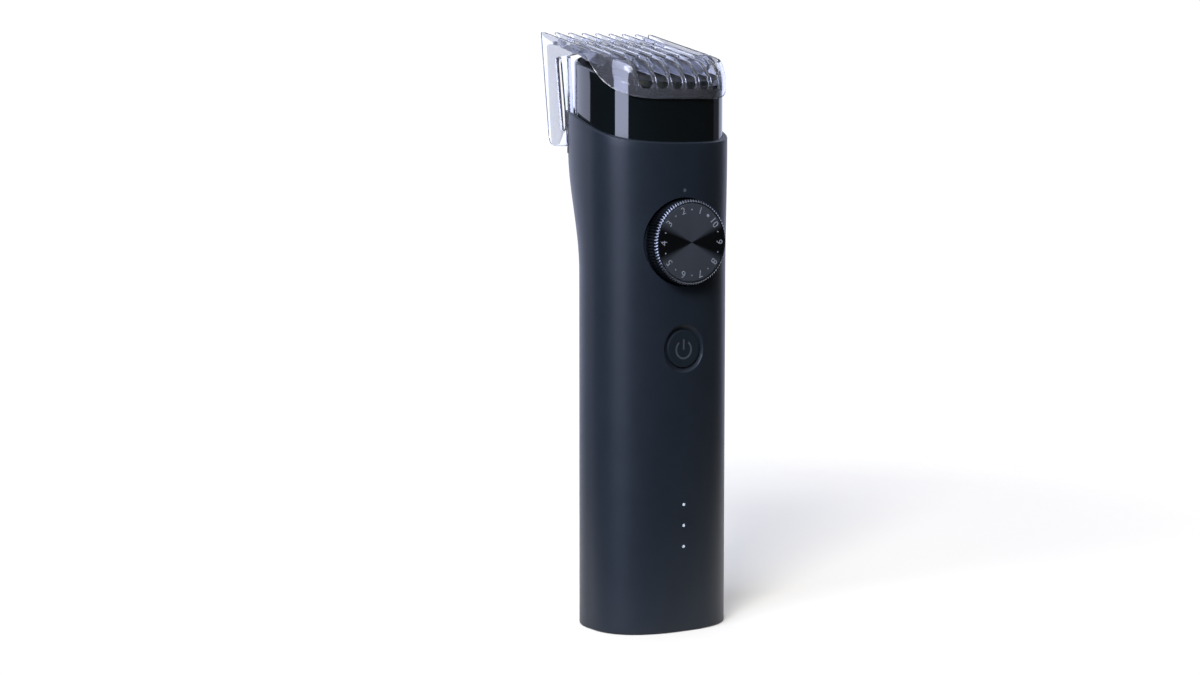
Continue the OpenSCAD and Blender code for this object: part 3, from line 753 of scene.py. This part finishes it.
def build_button():
    """Button with a lightly dished face and a flange behind the handle's wall."""
    face = BUTTON_FACE
    flange_r = BUTTON_R + 1.3
    profile = [
        (0.02, face + 0.05), (3.0, face + 0.045), (4.5, face + 0.02), (4.8, face + 0.03),
        (4.93, face + 0.1), (BUTTON_R, face + 0.24), (BUTTON_R, -13.1), (flange_r, -13.1),
        (flange_r, -12.5), (2.7, -12.5), (2.7, -13.0), (0.02, -13.0),
    ]
    bm = lathe_y(profile, BUTTON_Z, ROUND_STEPS)
    add_piece("button_cap", bm, "button", "button_plastic", replaces=("power_button",), sharp=35)


def build_power_mark():
    """Generic power symbol: an open ring and a bar, printed on the button."""
    y0, y1 = BUTTON_FACE + 0.02, BUTTON_FACE + 0.06
    r0, r1 = 2.1, 2.6
    ring_z = BUTTON_Z - 0.25
    bar_half, bar_foot, bar_top = 0.25, BUTTON_Z - 0.3, BUTTON_Z + 2.55
    gap = math.radians(38)
    steps = 48
    corners = ((r0, y0), (r1, y0), (r1, y1), (r0, y1))
    rings = []
    for i in range(steps + 1):
        a = gap + (2 * math.pi - 2 * gap) * i / steps
        rings.append([(r * math.sin(a), y, ring_z + r * math.cos(a)) for r, y in corners])
    bm = bmesh.new()
    merge_bm(bm, sweep(rings))
    merge_bm(bm, block((-bar_half, y0, bar_foot), (bar_half, y1, bar_top)))
    add_piece("power_mark", bm, "button", "mark_grey", material=BUTTON_INK)


# ---------- head collar ----------

def head_plane(y):
    """Height of the sloping plane on top of the head."""
    return HEAD_Z + SLOPE * y


def collar_point(t, inset):
    """A point of the collar's outline, moved inward by inset."""
    return outline_point(t, COLLAR_A - inset, COLLAR_FRONT - inset, COLLAR_BACK - inset)


def collar_column(t):
    """Points up the outside of the collar, over its rounded top and down the inside, at one station."""
    r = 0.75
    bevel_drop, bevel_start, bevel_length = 1.9, 8.0, 5.0
    below_plane = 0.05
    x, y = collar_point(t, 0)
    inner_x, inner_y = collar_point(t, COLLAR_WALL)
    # the top edge drops towards the front
    towards_front = max(0.0, min(1.0, (-y - bevel_start) / bevel_length))
    top = head_plane(y) - (bevel_drop * towards_front + below_plane)
    inner_top = head_plane(inner_y) - 0.02
    points = [(x, y, COLLAR_Z0)]
    points += [(x, y, COLLAR_Z0 + (top - r - COLLAR_Z0) * i / 8) for i in range(1, 9)]
    crown = r + (inner_top - top) * 0.45
    for i in range(1, 7):
        a = math.pi / 2 * i / 6
        edge_x, edge_y = collar_point(t, r * (1 - math.cos(a)) * 0.8)
        points.append((edge_x, edge_y, top - r + crown * math.sin(a)))
    points += [(inner_x, inner_y, z) for z in (inner_top - 0.02, COLLAR_Z0 + 2, COLLAR_Z0)]
    return points


def build_collar():
    """Glossy collar with a relief on each side for the comb's arms."""
    mean_depth = 17.0
    relief_in, relief_out, relief_top = 12.5, 20.0, 138.1
    columns = [collar_column(t) for t in even_stations(288, COLLAR_A, mean_depth)]
    collar = temp_object("collar", sweep_columns(columns))
    cutters = []
    for x0, x1 in ((-relief_out, -relief_in), (relief_in, relief_out)):
        cutters.append(temp_object("relief", block((x0, 10.3, COLLAR_Z0 - 1), (x1, 18.5, relief_top))))
    boolean(collar, cutters)
    finish_temp(collar, "gloss_collar", "housing", "collar_gloss", replaces=("head_collar",), sharp=40)


# ---------- comb ----------

def comb_top(y):
    """Height of the comb's sloping top."""
    return COMB_Z + SLOPE * y


def comb_floor(y):
    """Height of the fins' underside over the head."""
    return HEAD_Z + 1.45 + SLOPE * y


def curve(a, b, c, n=10):
    """A quadratic curve from a to c in n parts that leans towards b."""
    points = []
    for i in range(n + 1):
        t = i / n
        points.append(tuple(
            start * (1 - t) ** 2 + 2 * lean * t * (1 - t) + end * t * t
            for start, lean, end in zip(a, b, c)))
    return points


def fin_profile(front):
    """One fin from the side: leg and brow at the front, beak at the back, then the underside."""
    leg = 0.42
    foot = BAND_Z + RIM_T - 0.3
    brow = curve((front, 144.6), (front + 0.3, comb_top(front) - 1.6), (front + 5.2, comb_top(front + 5.2)))
    beak = [
        (COMB_BACK - 0.4, comb_top(COMB_BACK - 0.4)), (COMB_BACK, comb_top(COMB_BACK) - 0.25),
        (COMB_BACK - 0.2, comb_top(COMB_BACK) - 0.6),
    ]
    underside = [
        (22.5, comb_top(22.5) - 2.6), (20.2, comb_top(20.2) - 2.2), (19.2, comb_top(19.2) - 0.45),
        (0.2, comb_top(0.2) - 0.45), (-0.4, comb_floor(-0.4)), (front + 1.45, comb_floor(front + 1.45)),
        (front + leg, 145.5),
    ]
    return [(front, foot)] + brow + beak + underside + [(front + leg, foot)]


def side_profile(front):
    """One side plate: brow, back edge, round heel of the arm, the arm's front edge and the underside."""
    brow = curve(
        (front + 5.6, 151.0), (front + 6.2, comb_top(front + 5)), (front + 9.5, comb_top(front + 9.5)))
    back = [
        (COMB_BACK - 0.35, comb_top(COMB_BACK - 0.35)), (COMB_BACK - 0.05, comb_top(COMB_BACK) - 0.35),
        (COMB_BACK - 0.3, 158.2),
    ]
    heel = curve((24.75, 132.6), (24.5, 129.6), (21.6, 129.37), 6)
    arm = [(13.1, 129.37), (13.1, 139.2), (14.7, 153.5), (12.3, 153.7), (9.6, 154.0)]
    underside = [(4.6, comb_floor(4.6) + 0.2), (front + 6.6, comb_floor(front + 6.6) + 0.2)]
    return brow + back + heel + arm + underside


def slot_profile():
    """Opening in a side plate's arm, wide and round at the foot and arched at the top."""
    foot = curve((15.7, 135.0), (15.9, 133.3), (17.1, 133.3), 4)
    foot += curve((17.1, 133.3), (18.3, 133.3), (18.5, 134.8), 4)
    arch = curve((20.5, 149.0), (21.3, 153.3), (20.2, 153.4), 5) + [(18.9, 153.4)]
    arch += curve((18.9, 153.4), (18.3, 153.0), (18.0, 151.2), 3)
    return foot + arch + [(16.1, 139.2)]


def comb_inset(above_head):
    """How far the front rounds over, by height above the head's sloping plane."""
    bend, start_below = 0.05, 0.3
    return bend * max(0.0, above_head + start_below) ** 2


def skirt_point(t, z, off):
    """A point of the front band's outline at a height, moved inward by off."""
    k = comb_inset(z - head_plane(outline_point(t, COMB_A, COMB_B, COMB_B)[1])) + off
    return (*outline_point(t, COMB_A - k, COMB_B - k, COMB_B - off), z)


def build_skirt():
    """Band round the front that rises and rounds over into the side plates."""
    stations = even_stations(200, COMB_A, COMB_B)
    top = 153.8
    zs = [BAND_Z + 0.12 + (top - BAND_Z) * i / 24 for i in range(25)]
    # up the outside from a rounded foot, then down the inside
    levels = [(BAND_Z, 0.16), (BAND_Z + 0.04, 0.05)] + [(z, 0) for z in zs]
    levels += [(z, SKIRT_T) for z in reversed(zs)] + [(BAND_Z, SKIRT_T - 0.1)]
    rings = [[skirt_point(t, z, off) for t in stations] for z, off in levels]
    skirt = temp_object("skirt", sweep(rings, closed_loop=True))

    behind = [(-30, 130), (-30, BAND_Z - 1), (-14.5, BAND_Z - 1)]
    behind += curve((-14.5, BAND_Z - 0.05), (-9.0, 143.4), (-3.2, 148.2))
    behind += curve((-3.2, 148.2), (1.2, 152.2), (6.5, 154.9), 8)[1:]
    behind += [(6.5, 170), (40, 170), (40, 130)]
    above = [(-30, comb_top(-30) - 0.15), (30, comb_top(30) - 0.15), (30, 190), (-30, 190)]
    half = FINS_EACH_SIDE * FIN_PITCH + FIN_T / 2 - 0.05
    cutters = [
        temp_object("behind", prism(behind, -30, 30)),
        temp_object("above", prism(above, -30, 30)),
        temp_object("open", block((-half, -20, BAND_Z + RIM_T + 1.0), (half, 14, 175))),
    ]
    for i in range(-FINS_EACH_SIDE, FINS_EACH_SIDE):
        cutters.append(temp_object("window", u_window(i * FIN_PITCH, (i + 1) * FIN_PITCH)))
    return boolean(skirt, cutters)


def u_window(x0, x1):
    """Opening between two fins, with round corners at its foot."""
    r = 1.0
    overlap = 0.02
    left, right = x0 + FIN_T / 2 - overlap, x1 - FIN_T / 2 + overlap
    foot = BAND_Z + RIM_T
    arc = [math.pi / 2 * k / 6 for k in range(7)]
    points = [(left + r - r * math.cos(a), foot + r - r * math.sin(a)) for a in arc]
    points += [(right - r + r * math.sin(a), foot + r - r * math.cos(a)) for a in arc]
    points += [(right, 175), (left, 175)]
    bm = prism(points, -20, 14)
    swap_x_and_y = Matrix(((0, 1, 0, 0), (1, 0, 0, 0), (0, 0, 1, 0), (0, 0, 0, 1)))
    bm.transform(swap_x_and_y)
    return bm


def build_comb():
    """Clear guide comb, one moulding: fins, side plates with their slots, front band and rear tie bar."""
    outer = (FINS_EACH_SIDE + 1) * FIN_PITCH
    half_t = FIN_T / 2
    parts = [build_skirt()]
    for i in range(-FINS_EACH_SIDE, FINS_EACH_SIDE + 1):
        x = i * FIN_PITCH
        front = front_at(COMB_A, COMB_B, x) + 0.1
        parts.append(temp_object("fin", soft_prism(fin_profile(front), x - half_t, x + half_t)))
    for x in (-outer, outer):
        front = front_at(COMB_A, COMB_B, x)
        plate = temp_object("plate", soft_prism(side_profile(front), x - half_t, x + half_t))
        parts.append(boolean(plate, [temp_object("slot", prism(slot_profile(), x - 2, x + 2))]))
    near, far = 20.4, 22.3
    tie = [
        (near, comb_top(near) - 2.0), (far, comb_top(far) - 2.3), (far, comb_top(far) - 1.4),
        (near, comb_top(near) - 1.1),
    ]
    parts.append(temp_object("tie", prism(tie, -outer, outer)))
    bm = bmesh.new()
    for part in parts:
        bm.from_mesh(part.data)
        bpy.data.objects.remove(part)
    add_piece("clear_comb", bm, "comb", "comb_clear", replaces=("comb_guard",), sharp=34)


# ---------- CAD nodes that stay ----------

def dress_nodes():
    """Gives every carried-over CAD node the procedural material of its slot."""
    for entry in frame["record"]["subparts"]:
        obj = frame["nodes"][entry["node"]]
        obj.data.materials.clear()
        obj.data.materials.append(SLOTS[entry["material_slot"]])


# ---------- studio, in metres ----------

CAMERA_AT = Vector((-336.8, -520.6, 133.5)) * MM
CAMERA_YAW = math.radians(31.594)
CAMERA_PITCH = math.radians(-5.131)
LENS = 69.08
COOL = (0.69, 0.745, 1.0)
WARM = (1.0, 0.975, 0.93)
WHITE_SWEEP = 1.05
FLOOR_R = 0.25
FLOOR_AT = (0.095, 0.11, 0.0)


def build_camera():
    """Camera at the front left, a little under the comb and looking slightly down."""
    data = bpy.data.cameras.new("camera")
    data.lens = LENS
    data.sensor_width = 36
    data.clip_start = 0.01
    obj = bpy.data.objects.new("camera", data)
    level = math.cos(CAMERA_PITCH)
    look = Vector((
        math.sin(CAMERA_YAW) * level,
        math.cos(CAMERA_YAW) * level,
        math.sin(CAMERA_PITCH),
    ))
    obj.location = CAMERA_AT
    obj.rotation_euler = look.to_track_quat("-Z", "Y").to_euler()
    bpy.context.scene.collection.objects.link(obj)
    bpy.context.scene.camera = obj


def area_light(name, azimuth, distance, height, size, power, color, aim_z):
    """Soft box at an azimuth from the front (-Y is 0, +X is 90), aimed at a height of the trimmer's axis.

    The size is its width and its height. All lengths are in metres.
    """
    data = bpy.data.lights.new(name, "AREA")
    data.shape = "RECTANGLE"
    data.size, data.size_y = size
    data.energy = power
    data.color = color
    obj = bpy.data.objects.new(name, data)
    a = math.radians(azimuth)
    obj.location = (distance * math.sin(a), -distance * math.cos(a), height)
    aim = Vector((0, 0, aim_z)) - obj.location
    obj.rotation_euler = aim.to_track_quat("-Z", "Y").to_euler()
    bpy.context.scene.collection.objects.link(obj)
    return obj


def build_world():
    """White where the camera looks, also through clear plastic; else bright overhead and dark around."""
    world = bpy.data.worlds.new("studio")
    bpy.context.scene.world = world
    world.use_nodes = True
    tree = world.node_tree
    back = tree.nodes["Background"]
    path = tree.nodes.new("ShaderNodeLightPath")
    where = tree.nodes.new("ShaderNodeTexCoord").outputs["Generated"]
    split = tree.nodes.new("ShaderNodeSeparateXYZ")
    tree.links.new(where, split.inputs["Vector"])
    up = split.outputs["Z"]
    surround = remap(tree, up, 0.55, 0.95, 0.03, 0.6)

    # rays that leave clear plastic downward or away from the camera also meet the white sweep
    away = operate(tree, "VectorMath", "DOT_PRODUCT", where)
    away.inputs[1].default_value = (math.sin(CAMERA_YAW), math.cos(CAMERA_YAW), 0)
    backdrop = remap(tree, away.outputs["Value"], 0.4, 0.95)
    below = remap(tree, up, -0.1, -0.45, 0.0, 0.9)
    around = operate(tree, "Math", "MAXIMUM", backdrop.outputs["Result"], below.outputs["Result"])
    clear_ray = path.outputs["Is Transmission Ray"]
    through = operate(tree, "Math", "MULTIPLY", around.outputs["Value"], clear_ray)
    camera_ray = path.outputs["Is Camera Ray"]
    seen = operate(tree, "Math", "MAXIMUM", camera_ray, through.outputs["Value"])

    mix = tree.nodes.new("ShaderNodeMix")
    mix.data_type = "FLOAT"
    mix.inputs["B"].default_value = WHITE_SWEEP
    tree.links.new(seen.outputs["Value"], mix.inputs["Factor"])
    tree.links.new(surround.outputs["Result"], mix.inputs["A"])
    tree.links.new(mix.outputs["Result"], back.inputs["Strength"])
    back.inputs["Color"].default_value = (1, 1, 1, 1)


def floor_material():
    """Matt white sheet that fades into the white surroundings towards its rim."""
    mat, tree, shader = new_material("floor_white", (0.88, 0.86, 0.78), 0.8, Specular_IOR_Level=0.2)
    tint = ramp(tree, noise(tree, 3, 2), (0.87, 0.85, 0.77), (0.89, 0.87, 0.79))
    tree.links.new(tint, shader.inputs["Base Color"])
    reach = operate(tree, "VectorMath", "LENGTH", coords(tree))
    fade = remap(tree, reach.outputs["Value"], FLOOR_R * 0.4, FLOOR_R * 0.98, 1.0, 0.0)
    fade.interpolation_type = "SMOOTHSTEP"
    tree.links.new(fade.outputs["Result"], shader.inputs["Alpha"])
    return mat


def build_floor():
    """Round white sheet under the trimmer, which shows the shadow."""
    bm = bmesh.new()
    bmesh.ops.create_circle(bm, cap_ends=True, segments=96, radius=FLOOR_R)
    mesh = bpy.data.meshes.new("floor")
    bm.to_mesh(mesh)
    bm.free()
    mesh.materials.append(floor_material())
    obj = bpy.data.objects.new("floor", mesh)
    obj.location = FLOOR_AT
    bpy.context.scene.collection.objects.link(obj)


def build_lamps():
    """Soft boxes round the trimmer."""
    # tall soft box on the left, for the long highlight down the front corner
    area_light("key_box", azimuth=-66, distance=0.95, height=0.57, size=(0.77, 1.0), power=15.0,
               color=COOL, aim_z=0.08)
    # cards behind the trimmer and a faint one on the right, seen in its edges
    area_light("back_left_card", azimuth=-179, distance=1.25, height=0.5, size=(1.5, 1.4), power=11.0,
               color=COOL, aim_z=0.2)
    area_light("back_right_card", azimuth=119, distance=1.2, height=0.5, size=(0.9, 1.4), power=5.5,
               color=COOL, aim_z=0.2)
    area_light("right_fill", azimuth=90, distance=1.2, height=0.6, size=(0.6, 1.2), power=0.35,
               color=COOL, aim_z=0.2)
    # box overhead, for the top of the comb and the head
    area_light("top_box", azimuth=180, distance=0.15, height=1.5, size=(0.7, 0.7), power=2.5,
               color=WARM, aim_z=0.08)
    # high lamp at the front left, which throws the soft shadow back to the right
    lamp = area_light("shadow_lamp", azimuth=-46, distance=1.2, height=0.95, size=(0.42, 0.42), power=16.5,
                      color=WARM, aim_z=0.05)
    lamp.visible_glossy = False


def build_studio():
    """Camera, white surroundings, floor and lamps."""
    view = bpy.context.scene.view_settings
    view.view_transform = "Standard"
    view.look = "None"
    build_camera()
    build_world()
    build_floor()
    build_lamps()


build_shell()
build_lights()
build_knob()
build_dial_face()
build_marks()
build_button()
build_power_mark()
build_collar()
build_comb()
dress_nodes()
build_studio()
